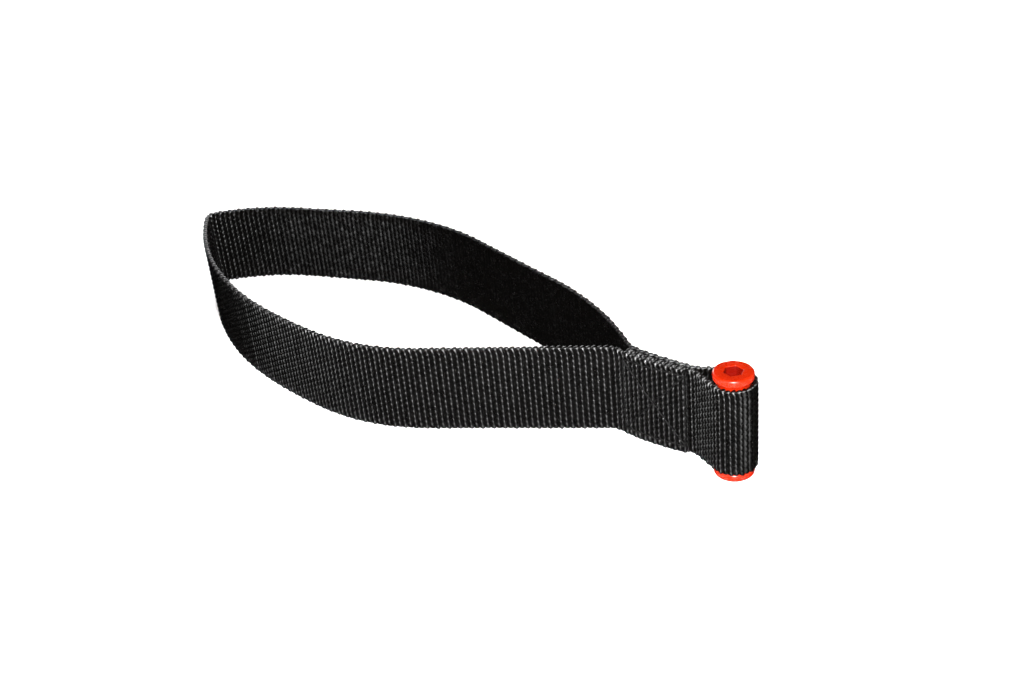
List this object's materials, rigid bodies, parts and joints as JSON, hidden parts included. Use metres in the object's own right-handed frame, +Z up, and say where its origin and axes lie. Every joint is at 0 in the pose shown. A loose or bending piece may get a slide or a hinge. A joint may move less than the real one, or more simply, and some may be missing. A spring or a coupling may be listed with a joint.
{
  "type": "strap wrench",
  "caption": "Strap wrench: heavy ribbed webbing loop with a sewn tab whose sleeve holds a flanged plastic winding spool with a through hex socket.",
  "frame": {"origin": "centre of the footprint, on the ground plane that the strap's lower selvedges stand on", "axes": "+Z up along the spool axis; +X from the loop's far tip towards the spool; +Y from the front run towards the back run"},
  "size_m": [0.2306, 0.213, 0.0438],
  "materials": {
    "webbing": "ribbed woven black nylon webbing",
    "thread": "bonded black sewing thread",
    "spool_plastic": "glossy orange-red moulded plastic"
  },
  "bodies": {
    "tab": {"strap_tab_front_ply": "webbing", "strap_tab_middle_ply": "webbing", "strap_tab_back_ply": "webbing", "thread_box_front": "thread", "thread_cross_front": "thread", "thread_box_back": "thread", "thread_cross_back": "thread"},
    "front_run": {"strap_front_run": "webbing"},
    "left_run": {"strap_left_run": "webbing"},
    "back_run_left": {"strap_back_run_left": "webbing"},
    "right_run": {"strap_right_run": "webbing"},
    "back_run_right": {"strap_back_run_right": "webbing"},
    "sleeve": {"strap_sleeve": "webbing"},
    "spool": {"spool": "spool_plastic"}
  },
  "joints": [
    {"name": "loop_open", "type": "hinge", "parent": "tab", "child": "front_run", "pos_m": [0.06453, -0.06153, 0.019], "axis": [0, 0, 1], "range_deg": [-12, 15]},
    {"name": "front_bend", "type": "hinge", "parent": "front_run", "child": "left_run", "pos_m": [-0.02874, -0.04204, 0.019], "axis": [0, 0, 1], "range_deg": [-20, 16]},
    {"name": "tip_bend", "type": "hinge", "parent": "left_run", "child": "back_run_left", "pos_m": [-0.11313, 0.10288, 0.019], "axis": [0, 0, 1], "range_deg": [-17, 21]},
    {"name": "fork_right", "type": "hinge", "parent": "tab", "child": "right_run", "pos_m": [0.07246, -0.05954, 0.019], "axis": [0, 0, 1], "range_deg": [-6.1, 5]},
    {"name": "back_bend", "type": "hinge", "parent": "right_run", "child": "back_run_right", "pos_m": [-0.01789, 0.0775, 0.019], "axis": [0, 0, 1], "range_deg": [-18, 22.2]},
    {"name": "crease_swing", "type": "hinge", "parent": "tab", "child": "sleeve", "pos_m": [0.0945, -0.08628, 0.019], "axis": [0, 0, 1], "range_deg": [-35, 35]},
    {"name": "spool_turn", "type": "hinge", "parent": "sleeve", "child": "spool", "pos_m": [0.10624, -0.09747, 0.019], "axis": [0, 0, 1], "continuous": true}
  ],
  "couplings": [
    {"joint": "front_bend", "follows": "loop_open", "ratio": -1.3252},
    {"joint": "tip_bend", "follows": "loop_open", "ratio": 1.3959},
    {"joint": "fork_right", "follows": "loop_open", "ratio": -0.4},
    {"joint": "back_bend", "follows": "loop_open", "ratio": 1.4708}
  ]
}
